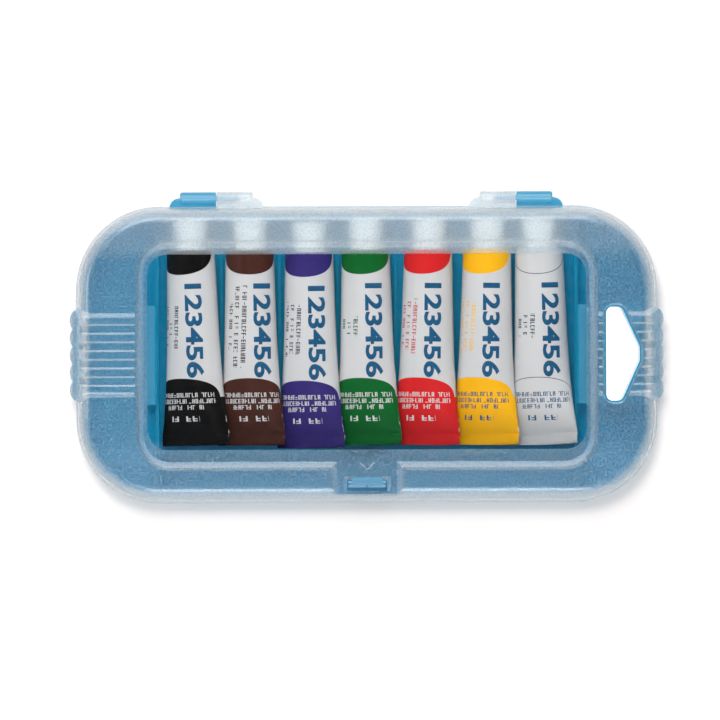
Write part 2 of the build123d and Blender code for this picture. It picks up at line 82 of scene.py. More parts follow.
camera_data = bpy.data.cameras.new("camera")
camera_data.sensor_width = sensor_mm
distance_to_lid = camera_height - cad_high.z
camera_data.lens = px_per_mm / mm * distance_to_lid / picture_px * sensor_mm
camera_data.clip_end = sight_end
camera = bpy.data.objects.new("camera", camera_data)
off_x, off_y = ((p - picture_px / 2) / px_per_mm * mm for p in case_centre_px)
camera.location = (-off_x, off_y, camera_height)
camera.rotation_euler = (0, 0, camera_roll)
bpy.context.scene.collection.objects.link(camera)
bpy.context.scene.camera = camera
print("lens", round(camera_data.lens, 1), "mm")

# %% [markdown]
# ## Node helpers
# Every finish here is a small tree of nodes. It could be joined by hand in the shader editor, but thirty
# nodes and their threads are hard to read back. Written with a few short helpers, a finish reads as a list
# of steps, from the place on the surface to the shader. The first helpers make the material, add a node
# with its threads, and close the tree.

# %% Helpers that build a tree
def new_tree(name):
    """An empty node material: the material and its tree."""
    material = bpy.data.materials.new(name)
    material.use_nodes = True
    material.node_tree.nodes.clear()
    return material, material.node_tree


def add(tree, kind, inputs=None, **settings):
    """Adds a node. Inputs are sockets to link or values to set; settings are the node's own options."""
    made = tree.nodes.new(kind)
    for key, value in settings.items():
        setattr(made, key, value)
    for key, value in (inputs or {}).items():
        if isinstance(value, bpy.types.NodeSocket):
            tree.links.new(value, made.inputs[key])
        else:
            made.inputs[key].default_value = value
    return made


def finish_material(material, tree, shader):
    """Joins the shader to the material's output."""
    add(tree, "ShaderNodeOutputMaterial", {"Surface": shader})
    return material


print("building helpers:", [helper.__name__ for helper in (new_tree, add, finish_material)])

# %% [markdown]
# Most of a pattern is plain arithmetic on the place, such as how far a point is from a line. One helper can
# do any step of it, since the node has a long list of operations. The steps that come often get their own
# names, so that a formula can be read aloud.

# %% Helpers for arithmetic
def calculate(tree, operation, *values, clamp=False):
    """The result of one step of arithmetic on numbers or sockets."""
    inputs = dict(enumerate(values))
    return add(tree, "ShaderNodeMath", inputs, operation=operation, use_clamp=clamp).outputs[0]


def product(tree, *values):
    """All the values multiplied together."""
    result = values[0]
    for value in values[1:]:
        result = calculate(tree, "MULTIPLY", result, value)
    return result


def largest(tree, *values):
    """The largest of the values."""
    result = values[0]
    for value in values[1:]:
        result = calculate(tree, "MAXIMUM", result, value)
    return result


def size_of(tree, value):
    """A value without its sign."""
    return calculate(tree, "ABSOLUTE", value)


def apart(tree, first, second):
    """How far two values lie apart."""
    return size_of(tree, calculate(tree, "SUBTRACT", first, second))


def square(tree, value):
    """A value times itself."""
    return calculate(tree, "POWER", value, 2.0)


helpers = (calculate, product, largest, size_of, apart, square)
print("arithmetic helpers:", [helper.__name__ for helper in helpers])

# %% [markdown]
# A mask is 1 where a finish belongs and 0 where it doesn't. Painted pictures could hold such masks, but a
# formula has no pixels, and its sizes stay real millimetres. An edge is either sharp or a smooth step.

# %% Helpers for masks
def above(tree, value, limit):
    """1 where the value is above the limit, and 0 elsewhere."""
    return calculate(tree, "GREATER_THAN", value, limit)


def below(tree, value, limit):
    """1 where the value is below the limit, and 0 elsewhere."""
    return calculate(tree, "LESS_THAN", value, limit)


def step(tree, value, low, high, out_low=0.0, out_high=1.0):
    """A smooth step from out_low to out_high as value goes from low to high."""
    inputs = {"Value": value, "From Min": low, "From Max": high, "To Min": out_low, "To Max": out_high}
    return add(tree, "ShaderNodeMapRange", inputs, interpolation_type="SMOOTHSTEP").outputs[0]


print("mask helpers:", [helper.__name__ for helper in (above, below, step)])

# %% [markdown]
# The rest are the nodes that every finish needs: the place on the surface, noise for what is uneven, bumps
# for what is too fine to model, and three ways to mix.

# %% Helpers for patterns and shaders
def place_on(tree, kind="Object"):
    """The place on the surface in the piece's own axes, or another of Blender's coordinates."""
    return add(tree, "ShaderNodeTexCoord").outputs[kind]


def split(tree, vector):
    """The X, Y and Z of a vector."""
    return add(tree, "ShaderNodeSeparateXYZ", {0: vector}).outputs


def noise(tree, place, size, detail=2.0):
    """Cloudy noise from 0 to 1, with lumps of about the given size and some layers of finer detail."""
    inputs = {"Vector": place, "Scale": 1 / size, "Detail": detail}
    return add(tree, "ShaderNodeTexNoise", inputs).outputs["Fac"]


def bumps(tree, height, strength, depth):
    """Tilts the surface as if the height were carved to the given depth."""
    inputs = {"Height": height, "Strength": strength, "Distance": depth}
    return add(tree, "ShaderNodeBump", inputs).outputs[0]


def blend(tree, share, first, second):
    """Mixes two colours: share 0 gives the first, and 1 the second."""
    return add(tree, "ShaderNodeMix", {0: share, 6: first, 7: second}, data_type="RGBA").outputs[2]


def between(tree, share, first, second):
    """Mixes two numbers in the same way."""
    return add(tree, "ShaderNodeMix", {"Factor": share, "A": first, "B": second}).outputs["Result"]


def mixed_shader(tree, share, first, second):
    """Mixes two shaders in the same way."""
    return add(tree, "ShaderNodeMixShader", {0: share, 1: first, 2: second}).outputs[0]


helpers = (place_on, split, noise, bumps, blend, between, mixed_shader)
print("pattern helpers:", [helper.__name__ for helper in helpers])

# %% [markdown]
# ## World
# The case lies in a white studio. A panorama of a real studio could be wrapped round the scene, but a plain
# world is easier to steer, since the light path tells what each ray is for. To the camera it is white, and
# as a lamp it is dim. To mirrors and glass it is white a little above the horizon, greyer at the horizon,
# and dark overhead, as where a camera hangs: that keeps the flat window clear of glare.

# %% World
ambient = 0.26
overhead_mirror = 0.03
overhead_height = 0.8
horizon_mirror = 0.35
horizon_height = 0.3
half_bounce = 0.5

world = bpy.data.worlds.new("studio")
bpy.context.scene.world = world
world.use_nodes = True
tree = world.node_tree
tree.nodes.clear()
ray = add(tree, "ShaderNodeLightPath").outputs
height = split(tree, place_on(tree, "Generated"))["Z"]
overhead = step(tree, height, horizon_height, overhead_height, 1.0, overhead_mirror)
horizon = step(tree, height, 0.0, horizon_height, horizon_mirror, 1.0)
seen = between(tree, ray["Is Camera Ray"], product(tree, overhead, horizon), 1.0)
level = between(tree, above(tree, ray["Diffuse Depth"], half_bounce), seen, ambient)
background = add(tree, "ShaderNodeBackground", {"Color": (1, 1, 1, 1), "Strength": level}).outputs[0]
add(tree, "ShaderNodeOutputWorld", {"Surface": background})
print("world: 1 to the camera,", ambient, "as a lamp,", overhead_mirror, "overhead in a mirror")

# %% [markdown]
# ## Floor
# The floor is white paper. Paper that only reflects looks grey under soft light, so a faint glow is added
# for rays that look at it, and none for rays that it would light the case with. A brighter lamp would wash
# the shadow out; this way it stays. Through the case's carrying hole the floor looks nearly white, so the
# glow is stronger in a spot below the hole.

# %% Floor
floor_size = 6
floor_drop = 0.05 * mm
floor_colour = (0.955, 0.89, 0.855, 1)
floor_glow = 0.13
hole_glow = 0.85
hole_middle_x = 87.2 * mm
hole_spot = (7.5 * mm, 15.5 * mm)
hole_fade = (1.3, 1.2)

bpy.ops.object.select_all(action="DESELECT")
bpy.ops.mesh.primitive_plane_add(size=floor_size, location=(0, 0, -floor_drop))
floor = bpy.context.object
floor.name = "floor"
material, tree = new_tree("floor_white")
x, y, _ = split(tree, place_on(tree))
near_x = step(tree, apart(tree, x, hole_middle_x), hole_spot[0], hole_fade[0] * hole_spot[0], 1.0, 0.0)
near_y = step(tree, size_of(tree, y), hole_spot[1], hole_fade[1] * hole_spot[1], 1.0, 0.0)
glows = calculate(tree, "MULTIPLY_ADD", product(tree, near_x, near_y), hole_glow, floor_glow)
looks = below(tree, add(tree, "ShaderNodeLightPath").outputs["Diffuse Depth"], half_bounce)
glow = add(tree, "ShaderNodeEmission", {"Strength": product(tree, looks, glows)}).outputs[0]
paper = add(tree, "ShaderNodeBsdfDiffuse", {"Color": floor_colour}).outputs[0]
both = add(tree, "ShaderNodeAddShader", {0: paper, 1: glow}).outputs[0]
floor.data.materials.append(finish_material(material, tree, both))
print("floor:", floor_size, "m wide,", round(floor_drop / mm, 3), "mm below the case")

# %% [markdown]
# ## Soft lamps
# Softboxes give the case its pale shadows and its broad soft highlights. Glowing panels would do, but area
# lamps give a cleaner picture in the same time. One stands behind the case, a weaker one before it and a
# weak one at the left. The strongest hangs above and shows in no mirror, so that it lights the tubes
# through the lid and leaves no glare on the window.

# %% Soft lamps
lamp_target = Vector((0, 0, 10 * mm))


def softbox(name, place, size, watts, shines=True):
    """A rectangular lamp that faces the case. Where it doesn't shine, no surface mirrors it."""
    data = bpy.data.lights.new(name, "AREA")
    data.shape = "RECTANGLE"
    data.size, data.size_y = size
    data.energy = watts
    lamp = bpy.data.objects.new(name, data)
    lamp.location = place
    lamp.rotation_euler = (lamp_target - Vector(place)).to_track_quat("-Z", "Y").to_euler()
    lamp.visible_glossy = lamp.visible_transmission = shines
    bpy.context.scene.collection.objects.link(lamp)
    return lamp


lamps = [
    softbox("lamp_back", (-0.1, 0.7, 0.8), (0.8, 0.5), 4.6),
    softbox("lamp_front", (0.0, -0.6, 0.9), (0.4, 0.4), 2.9),
    softbox("lamp_left", (-0.95, 0.1, 0.8), (0.3, 0.3), 1.0),
    softbox("lamp_top", (-0.1, 0.35, 1.2), (0.3, 0.3), 6.9, shines=False),
]
print("lamps in watts:", {lamp.name: round(lamp.data.energy, 2) for lamp in lamps})

# %% [markdown]
# ## The lid: frosted and polished
# The lid is one moulding of clear plastic. Its mould has a fine grain on the border, which blurs what lies
# below, and is polished where the sunk window is. Two materials could share the lid's faces, but the edge
# of the polish would then have to follow the mesh. One material that knows where it is on the lid does
# without: inside a rounded rectangle it is smooth, and all the rest is frosted.

# %% Outline of the polished panel
panel_middle_y = 0.95 * mm
panel_half = (74.5 * mm, 33.2 * mm)
panel_radius = 7.0 * mm
panel_edge = 0.15 * mm


def outside_panel(tree, place):
    """Distance of a place, in X and Y, outside the panel's rounded rectangle: below 0 inside it."""
    x, y, _ = split(tree, place)
    across = calculate(tree, "SUBTRACT", size_of(tree, x), panel_half[0] - panel_radius)
    along = calculate(tree, "SUBTRACT", apart(tree, y, panel_middle_y), panel_half[1] - panel_radius)
    squares = [square(tree, largest(tree, side, 0.0)) for side in (across, along)]
    corner = calculate(tree, "SQRT", calculate(tree, "ADD", *squares))
    inside = calculate(tree, "MINIMUM", largest(tree, across, along), 0.0)
    return calculate(tree, "SUBTRACT", calculate(tree, "ADD", corner, inside), panel_radius)


print("polished panel in mm:", [round(2 * side / mm, 1) for side in panel_half])

# %% [markdown]
# Frosted plastic isn't white all over. The grain leaves clearer and bluer specks, and a wall seen end-on
# looks grey, since light is lost on its long way through. An absorbing volume could give the grey, but it
# is slow and noisy, so the glass is tinted by its grain and by how upright its surface stands.

# %% Glass of the lid
frost_roughness = 0.4
polish_roughness = 0.015
coat_roughness = 0.12
plastic_ior = 1.49
low_grain, mid_grain = 0.38, 0.58
steep_wall, leaning_wall = 0.2, 0.5
clear_tint = (1, 1, 1, 1)
frost_tint = (0.6, 0.76, 0.83, 1)
wall_tint = (0.42, 0.48, 0.52, 1)


def lid_glass(tree, grain, frost, relief, upright):
    """The see-through part of the lid. Frost is 0 in the polished panel and 1 on the border."""
    polished = calculate(tree, "SUBTRACT", 1.0, frost)
    clear = largest(tree, step(tree, grain, low_grain, mid_grain), polished)
    wall = step(tree, size_of(tree, upright), steep_wall, leaning_wall, 1.0, 0.0)
    tint = blend(tree, wall, blend(tree, clear, frost_tint, clear_tint), wall_tint)
    return add(tree, "ShaderNodeBsdfPrincipled", {
        "Base Color": tint, "Roughness": between(tree, frost, polish_roughness, frost_roughness),
        "Normal": relief, "Transmission Weight": 1.0, "IOR": plastic_ior,
        "Coat Weight": frost, "Coat Roughness": coat_roughness}).outputs[0]


print("roughness of frost and polish:", frost_roughness, polish_roughness)

# %% [markdown]
# Frost also throws light back, as a white haze. It shows where the surface slopes, more on slopes that face
# the lamps before and behind the case than on those that face the ends, and most on the front rim and the
# ridges of
# the end grips: in part real haze, in part a painted highlight. Scattering inside the plastic would give the
# haze by itself and take very long, so a share of plain white is mixed in. The surface's own direction says
# where, which needs no mask and fits every edge.

# %% Haze and painted highlight on the lid's slopes
wall_haze = 0.18
rim_haze_and_highlight = 0.36
rim_start, rim_fade = 43.5 * mm, 2 * mm
grip_start = 77.0 * mm
grip_half = 17.0 * mm
slope_start = 0.8
side_start, side_end, side_share = 0.3, 0.6, 0.15


def haze_and_highlight_on_slopes(tree, place, normal):
    """Haze that follows how the surface slopes, and which way, with a painted highlight on the front rim and
    grips.
    """
    x, y, _ = split(tree, place)
    sideways, _, upright = split(tree, normal)
    sloping = step(tree, size_of(tree, upright), slope_start, 1.0, 1.0, 0.0)
    facing = step(tree, size_of(tree, sideways), side_start, side_end, 1.0, side_share)
    # painted highlight in part: more white on the front rim and the grip ridges
    at_rim = step(tree, y, -rim_start, -rim_start - rim_fade, 0.0, rim_haze_and_highlight)
    past_start = above(tree, size_of(tree, x), grip_start)
    at_grip = product(tree, past_start, below(tree, size_of(tree, y), grip_half), rim_haze_and_highlight)
    return product(tree, sloping, facing, largest(tree, at_rim, at_grip, wall_haze))


print("haze of the front rim and of other slopes:", rim_haze_and_highlight, wall_haze)

# %% [markdown]
# Some places are hazy whatever their slope: the border at the back, where the white haze is in part painted
# light from the white caps under it, the hinge barrels, and the high specks of the grain. The small raised
# chevron in front gets a painted highlight. A mask could be painted for them, but they have plain outlines,
# so they are marked by where they lie on the lid.

# %% Haze, painted light and a painted highlight in places
# painted light in part: the border at the back is whiter over the white caps
back_haze_and_painted_light = 0.15
back_start, back_fade = 31.0 * mm, 7 * mm
back_half, back_side_fade, back_side_share = 60.0 * mm, 15 * mm, 0.45
hinge_haze = 0.2
hinge_start = 50.3 * mm
# painted highlight on the small raised chevron
chevron_painted_highlight = 0.35
chevron_half = (3.2 * mm, 2.0 * mm)
chevron_y = -38.4 * mm
chevron_z = 20.36 * mm
speckle_haze = 0.2
speckle_start, speckle_end = 0.55, 0.65


def haze_and_painted_light_at_back(tree, x, y):
    """The border at the back, fainter at its ends: haze, and painted light from the white caps under it."""
    rise = step(tree, y, back_start, back_start + back_fade, 0.0, back_haze_and_painted_light)
    ends = step(tree, size_of(tree, x), back_half, back_half + back_side_fade, 1.0, back_side_share)
    return product(tree, rise, ends)


def on_chevron(tree, x, y, z):
    """1 on the small raised chevron of the latch bay."""
    in_x = below(tree, size_of(tree, x), chevron_half[0])
    in_y = below(tree, apart(tree, y, chevron_y), chevron_half[1])
    return product(tree, in_x, in_y, above(tree, z, chevron_z))


def lid_haze(tree, place, normal, grain, frost):
    """The share of haze all over the lid, with its painted light and painted highlights. The polished panel
    has none.
    """
    x, y, z = split(tree, place)
    share = largest(tree, haze_and_highlight_on_slopes(tree, place, normal), haze_and_painted_light_at_back(tree, x, y))
    # painted highlight on the chevron
    share = calculate(tree, "MULTIPLY_ADD", on_chevron(tree, x, y, z), chevron_painted_highlight, share)
    at_hinge = step(tree, y, hinge_start, hinge_start + mm)
    share = calculate(tree, "MULTIPLY_ADD", at_hinge, hinge_haze, share)
    speckle = product(tree, step(tree, grain, speckle_start, speckle_end), frost)
    share = calculate(tree, "MULTIPLY_ADD", speckle, speckle_haze, share)
    return product(tree, share, frost)


print("haze of back border, hinge and chevron:", back_haze_and_painted_light, hinge_haze, chevron_painted_highlight)

# %% [markdown]
# Light has to reach the tubes under the lid. Rays that search for a lamp stop at glass, and letting them
# find their way by chance makes bright dots. So those rays alone are let straight through, with the tint
# that the plastic would give them.

# %% The lid's material
grain_size = 0.65 * mm
grain_detail = 1.0
frost_strength, frost_depth = 0.6, 0.06 * mm
haze_colour = (0.78, 0.82, 0.84, 1)
haze_through = 0.4
lid_shadow = (0.88, 0.89, 0.9, 1)


def let_lamps_through(tree, shader, tint):
    """Lets the rays to lamps through the plastic, tinted, so that what is under it is lit."""
    ray = add(tree, "ShaderNodeLightPath").outputs["Is Shadow Ray"]
    open_way = add(tree, "ShaderNodeBsdfTransparent", {"Color": tint}).outputs[0]
    return mixed_shader(tree, ray, shader, open_way)


material, tree = new_tree("clear_plastic_frosted")
place = place_on(tree)
normal = place_on(tree, "Normal")
frost = step(tree, outside_panel(tree, place), -panel_edge, panel_edge)
grain = noise(tree, place, grain_size, grain_detail)
relief = bumps(tree, product(tree, grain, frost), frost_strength, frost_depth)
glass = lid_glass(tree, grain, frost, relief, split(tree, normal)["Z"])
face = add(tree, "ShaderNodeBsdfDiffuse", {"Color": haze_colour, "Normal": relief}).outputs[0]
inside = add(tree, "ShaderNodeBsdfTranslucent", {"Color": haze_colour, "Normal": relief}).outputs[0]
haze = mixed_shader(tree, haze_through, face, inside)
hazy = mixed_shader(tree, lid_haze(tree, place, normal, grain, frost), glass, haze)
clear_plastic = finish_material(material, tree, let_lamps_through(tree, hazy, lid_shadow))
parts["lid"].material_slots[0].material = clear_plastic
print("nodes in the lid's material:", len(tree.nodes))

# %% [markdown]
# ## The tray: blue plastic
# The tray is moulded in blue plastic that glows where light comes through it. Colour that deepens with the
# way through the plastic would be truest and very slow. So the glass here is tinted on its surface, and a
# share of plain translucence gives the glow; only a value from 0 to 1 has to say how pale each place is.

# %% Blue plastic
deep_blue = (0.0, 0.43, 0.66, 1)
pale_blue = (0.26, 0.6, 0.8, 1)
blue_shadow = (0.34, 0.36, 0.37, 1)
cloud_size, cloud_share = 4 * mm, 0.08
cloud_low, cloud_high = 0.3, 0.8
tray_strength, tray_depth = 0.3, 0.05 * mm
glow_share = 0.25


def blue_plastic(name, paleness):
    """Blue see-through plastic. Paleness makes from a place in the piece how pale it is, 0 to 1."""
    material, tree = new_tree(name)
    place = place_on(tree)
    cloud = noise(tree, place, cloud_size, detail=3.0)
    cloudy = step(tree, cloud, cloud_low, cloud_high, 0.0, cloud_share)
    pale = calculate(tree, "ADD", paleness(tree, place), cloudy, clamp=True)
    colour = blend(tree, pale, deep_blue, pale_blue)
    relief = bumps(tree, noise(tree, place, grain_size), tray_strength, tray_depth)
    body = add(tree, "ShaderNodeBsdfPrincipled", {
        "Base Color": colour, "Roughness": 0.3, "Normal": relief,
        "Transmission Weight": 0.55, "IOR": plastic_ior, "Specular IOR Level": 0.15,
        "Coat Weight": 0.6, "Coat Roughness": 0.06}).outputs[0]
    glow = add(tree, "ShaderNodeBsdfTranslucent", {"Color": colour}).outputs[0]
    shader = mixed_shader(tree, glow_share, body, glow)
    return finish_material(material, tree, let_lamps_through(tree, shader, blue_shadow))


print("deep and pale blue:", deep_blue[:3], pale_blue[:3])

# %% [markdown]
# The tray is painted paler where thin plastic is lit from all round, as painted light: at the hinge halves,
# with a painted highlight along each, on the stop blocks at both ends of the row, in the well before the
# tubes, and on a strip round the latch's hook. The hook itself is painted pale all over. Measuring the
# thickness everywhere would take a map of its own, and these few places can be named, so they are marked by
# where they lie.

# %% Where the tray is thin and lit: painted light
hinge_axis_y = next(joint["pos_m"][1] for joint in frame["joints"] if joint["name"] == "lid_hinge")
hinge_fade = 0.5 * mm
# painted highlight along each hinge barrel: where it begins to fade and ends, from the axis, and the
# paleness beside it
highlight_start, highlight_end, beside_highlight = 0.3 * mm, 1.1 * mm, 0.35
well_start, well_fade, well_paleness = -28.5 * mm, 4 * mm, 0.55
block_from_x, block_to_x, block_from_z = 72.2 * mm, 76.0 * mm, 9.0 * mm
block_paleness = 0.4
latch_y, latch_half = -45.6 * mm, 9.0 * mm
strip_start, strip_end = 1.2 * mm, 1.6 * mm


def thin_and_lit_in_tray(tree, place):
    """How pale the tray is at a place: painted light where thin plastic is lit, and a painted highlight
    along each hinge barrel.
    """
    x, y, z = split(tree, place)
    out_x = size_of(tree, x)
    # painted highlight: a bright line along each hinge barrel
    painted_highlight = step(tree, apart(tree, y, hinge_axis_y), highlight_start, highlight_end, 1.0, beside_highlight)
    hinge = product(tree, step(tree, y, hinge_start, hinge_start + hinge_fade), painted_highlight)
    # painted light on the well, the latch strip and the stop blocks, where thin plastic is lit
    well = step(tree, y, well_start, well_start - well_fade, 0.0, well_paleness)
    strip = step(tree, apart(tree, y, latch_y), strip_start, strip_end, 1.0, 0.0)
    latch = product(tree, strip, step(tree, out_x, latch_half, latch_half + mm, 1.0, 0.0))
    past_row = above(tree, out_x, block_from_x)
    block = product(tree, past_row, below(tree, out_x, block_to_x), above(tree, z, block_from_z))
    edges = calculate(tree, "ADD", calculate(tree, "ADD", hinge, well), latch)
    return calculate(tree, "MULTIPLY_ADD", block, block_paleness, edges)


def thin_and_lit_all_over(tree, place):
    """The hook is thin and lit everywhere: painted light all over."""
    return 1.0


parts["base_tray"].material_slots[0].material = blue_plastic("blue_plastic_tray", thin_and_lit_in_tray)
parts["latch_hook"].material_slots[0].material = blue_plastic("blue_plastic_hook", thin_and_lit_all_over)
print("hinge axis at y =", round(hinge_axis_y / mm, 2), "mm")

# %% [markdown]
# ## The tubes
# Each tube is a soft printed sleeve, round at its shoulder and pinched flat at its folded end. It could be
# sculpted, or grown from a curve, but by hand a maker would start from an open cylinder and squeeze it ring
# by ring. So it is here: the seam is underneath, and each ring gets the width, height and lean that it has
# on the real sleeve. The cylinder's own UV map then runs round and along the foil, so that the label can be
# drawn in millimetres on it.

# %% Sizes of a sleeve
tube_radius = 8.2 * mm
sleeve_length = 66.0 * mm
soft_length = 62.4 * mm
fold_thickness = 0.9 * mm
fold_width = math.pi * tube_radius - fold_thickness
fold_lean = math.radians(20.0)
belly_swell = 2.9 * mm
height_hold, height_drop = 3.2, 0.8
widening, leaning = 4, 1.3
ring_gap = 0.66 * mm
ring_count = round(sleeve_length / ring_gap) + 1
ring_points = 72
colours = [joint["name"].split("_")[1] for joint in frame["joints"] if joint["name"].startswith("cap_")]


def ring_shape(distance):
    """Width and height of the ring at a distance from the shoulder, and its lean."""
    way = min(distance / soft_length, 1.0)
    left = (1 - way ** height_hold) ** height_drop
    height = fold_thickness + (2 * tube_radius - fold_thickness) * left
    spread = fold_width - 2 * tube_radius - belly_swell
    width = 2 * tube_radius + belly_swell * way + spread * way ** widening
    return width, height, fold_lean * way ** leaning


print("tubes:", colours, "rings:", ring_count)

# %% [markdown]
# An operator acts on whatever is selected. By hand the points would be picked with a box or a loop; in a
# script each step begins by choosing exactly its own points or edges by where they lie, which also works
# when the sizes change. These helpers do that.

# %% Helpers for choosing
import bmesh


def pick_only(piece):
    """Selects one object and makes it the active one."""
    bpy.ops.object.select_all(action="DESELECT")
    piece.select_set(True)
    bpy.context.view_layer.objects.active = piece


def select_points(piece, wanted):
    """In edit mode, selects the points whose place passes the test, with the edges between them."""
    bpy.ops.mesh.select_mode(type="VERT")
    bpy.ops.mesh.select_all(action="DESELECT")
    shape = bmesh.from_edit_mesh(piece.data)
    for point in shape.verts:
        point.select_set(wanted(point.co))
    shape.select_flush(True)
    bmesh.update_edit_mesh(piece.data)


def select_ring(piece, middle):
    """Selects the ring of points at a place along the tube."""
    select_points(piece, lambda p: abs(p.y - middle) < ring_gap / 4)


def select_edges(piece, wanted):
    """In edit mode, selects the edges whose two ends together pass the test."""
    bpy.ops.mesh.select_mode(type="EDGE")
    bpy.ops.mesh.select_all(action="DESELECT")
    shape = bmesh.from_edit_mesh(piece.data)
    for edge in shape.edges:
        edge.select_set(wanted(edge.verts[0].co, edge.verts[1].co))
    bmesh.update_edit_mesh(piece.data)


helpers = (pick_only, select_points, select_ring, select_edges)
print("choosing helpers:", [helper.__name__ for helper in helpers])

# %% [markdown]
# The sleeve takes four steps. First its rings are squeezed, and its fold is pressed and closed. It could all
# be one long run of operators, but as functions each step can be tried on its own.

# %% Squeeze the rings and press the fold
# for some rings before the end, their count from it and the share of their thickness that is left
fold_rings = ((0, 0.8), (1, 0.97), (5, 0.98), (6, 0.85), (7, 0.94))
fold_inset = 0.08 * mm


def squeeze_rings(sleeve):
    """Gives every ring of the cylinder its width, height and lean."""
    for i in range(ring_count):
        middle = -ring_gap * i
        wide, high, lean = ring_shape(ring_gap * i)
        select_ring(sleeve, middle)
        share = (wide / (2 * tube_radius), 1, high / (2 * tube_radius))
        bpy.ops.transform.resize(value=share, center_override=(0, middle, 0))
        bpy.ops.transform.rotate(value=lean, orient_axis="Y", center_override=(0, middle, 0))


def close_fold(sleeve):
    """Rounds and closes the end of the folded strip, and presses the crease before it."""
    for back, share in fold_rings:
        middle = -sleeve_length + back * ring_gap
        select_ring(sleeve, middle)
        bpy.ops.transform.resize(value=(1, 1, share), center_override=(0, middle, 0))
    select_points(sleeve, lambda p: p.y < -sleeve_length + ring_gap / 4)
    bpy.ops.mesh.edge_face_add()
    bpy.ops.mesh.inset(thickness=fold_inset, depth=0)


print("rings squeezed:", ring_count, "rings pressed at the fold:", len(fold_rings))

# %% [markdown]
# Then the open rim is rolled inwards over the shoulder, by extruding its edge ring by ring. A bevel would
# round it too, but can't draw it in. Last, one corner of the fold is lifted, as it is on tubes that lie side
# by side: a proportional move takes the foil round it along, where moving one point would make a spike.

# %% Roll the rim and lift a corner
# for each ring of the rim, how far it goes on and the share of its width that is left
rim_rings = ((0.2 * mm, 0.986), (0.22 * mm, 0.97), (0.1 * mm, 0.955), (0.0, 0.95))
corner_width, corner_length = 0.5 * mm, 1.5 * mm
corner_lift = (-0.35 * mm, 0.35 * mm, 0.7 * mm)
corner_reach = 4.0 * mm


def roll_rim(sleeve):
    """Rolls the open end inwards over the shoulder's cone."""
    select_points(sleeve, lambda p: p.y > -ring_gap / 4)
    for move, share in rim_rings:
        bpy.ops.mesh.extrude_edges_move(TRANSFORM_OT_translate={"value": (0, move, 0)})
        bpy.ops.transform.resize(value=(share, 1, share), center_override=(0, 0, 0))


def curl_corner(sleeve):
    """Lifts the corner of the fold that lies over the next tube."""
    edge = fold_width / 2 * math.cos(fold_lean)
    select_points(sleeve, lambda p: p.x > edge - corner_width and p.y < -sleeve_length + corner_length)
    bpy.ops.transform.translate(
        value=corner_lift, use_proportional_edit=True,
        proportional_edit_falloff="SMOOTH", proportional_size=corner_reach)


print("rim rings:", len(rim_rings), "corner lifted by:", round(corner_lift[2] / mm, 2), "mm")

# %% [markdown]
# The cylinder begins with one long face for each of its points round, and subdividing its long edges gives
# it all its rings at once. That is quicker than cutting loops one by one, and keeps the UV map in order.

# %% The sleeve, once
bpy.ops.object.select_all(action="DESELECT")
bpy.ops.mesh.primitive_cylinder_add(
    vertices=ring_points, radius=tube_radius, depth=sleeve_length, end_fill_type="NOTHING",
    location=(0, -sleeve_length / 2, 0), rotation=(-math.pi / 2, 0, 0))
sleeve_master = bpy.context.object
bpy.ops.object.transform_apply(location=True, rotation=True, scale=True)
bpy.ops.object.mode_set(mode="EDIT")
select_edges(sleeve_master, lambda a, b: abs(a.y - b.y) > mm)
bpy.ops.mesh.subdivide(number_cuts=ring_count - 2)
squeeze_rings(sleeve_master)
close_fold(sleeve_master)
roll_rim(sleeve_master)
curl_corner(sleeve_master)
bpy.ops.object.mode_set(mode="OBJECT")
print("sleeve faces:", len(sleeve_master.data.polygons),
      "size in mm:", [round(side / mm, 2) for side in sleeve_master.dimensions])

# %% [markdown]
# ## The printed label
# A half moon of the paint's colour comes first on each tube, then a white field with upright lines of small
# print, then a block of colour with level lines. The label could be painted as a picture, but nodes stay
# sharp at any size. It is drawn with the foil's UV map, in millimetres: round the tube from its top line,
# and along it from the shoulder.

# %% Print helpers
edge_softness = 0.05
girth = 2 * math.pi * tube_radius / mm


def within(tree, value, middle, half, soft=edge_softness):
    """1 where value lies within half of the middle, with a soft edge, and 0 elsewhere."""
    return step(tree, apart(tree, value, middle), half - soft, half + soft, 1.0, 0.0)


def chance(tree, seed, share, value, size):
    """1 on a random share of the cells of the given size along a value, and 0 on the others."""
    cell = calculate(tree, "FLOOR", calculate(tree, "DIVIDE", value, size))
    place = add(tree, "ShaderNodeCombineXYZ", {0: cell, 2: seed}).outputs[0]
    drawn = add(tree, "ShaderNodeTexWhiteNoise", {"Vector": place}).outputs["Value"]
    return below(tree, drawn, share)


print("the foil is", round(girth, 1), "mm round")

# %% [markdown]
# The small print can't be read from this far, and says nothing here. Real text could be laid on the foil,
# but it would be thousands of faces too small to see. So a line is cut into cells, and each letter is two
# stems and three bars that are there or not by chance.

# %% Small print
# where in its letter a stem or a bar lies, from 0 to 1, and how likely it is
letter_stems = ((0.14, 0.85), (0.62, 0.5))
letter_bars = ((0.08, 0.5), (0.5, 0.55), (0.92, 0.6))
stem_half = 0.14
bar_half = 0.09
letter_body = 0.72
bar_seed, space_seed = 3.0, 9.0
letter_share = 0.9


def letters(tree, run, rise, size, seed):
    """Unreadable letters of random stems and bars, whose line begins at rise 0. Size is width and height."""
    width, height = size
    x = calculate(tree, "FRACT", calculate(tree, "DIVIDE", run, width))
    y = calculate(tree, "DIVIDE", rise, height)
    body = below(tree, x, letter_body)
    ink = 0.0
    for i, (place, likely) in enumerate(letter_stems):
        stem = product(tree, within(tree, x, place, stem_half), chance(tree, seed + i, likely, run, width))
        ink = largest(tree, stem, ink)
    for i, (place, likely) in enumerate(letter_bars):
        drawn = chance(tree, seed + bar_seed + i, likely, run, width)
        ink = largest(tree, product(tree, within(tree, y, place, bar_half), drawn, body), ink)
    return ink


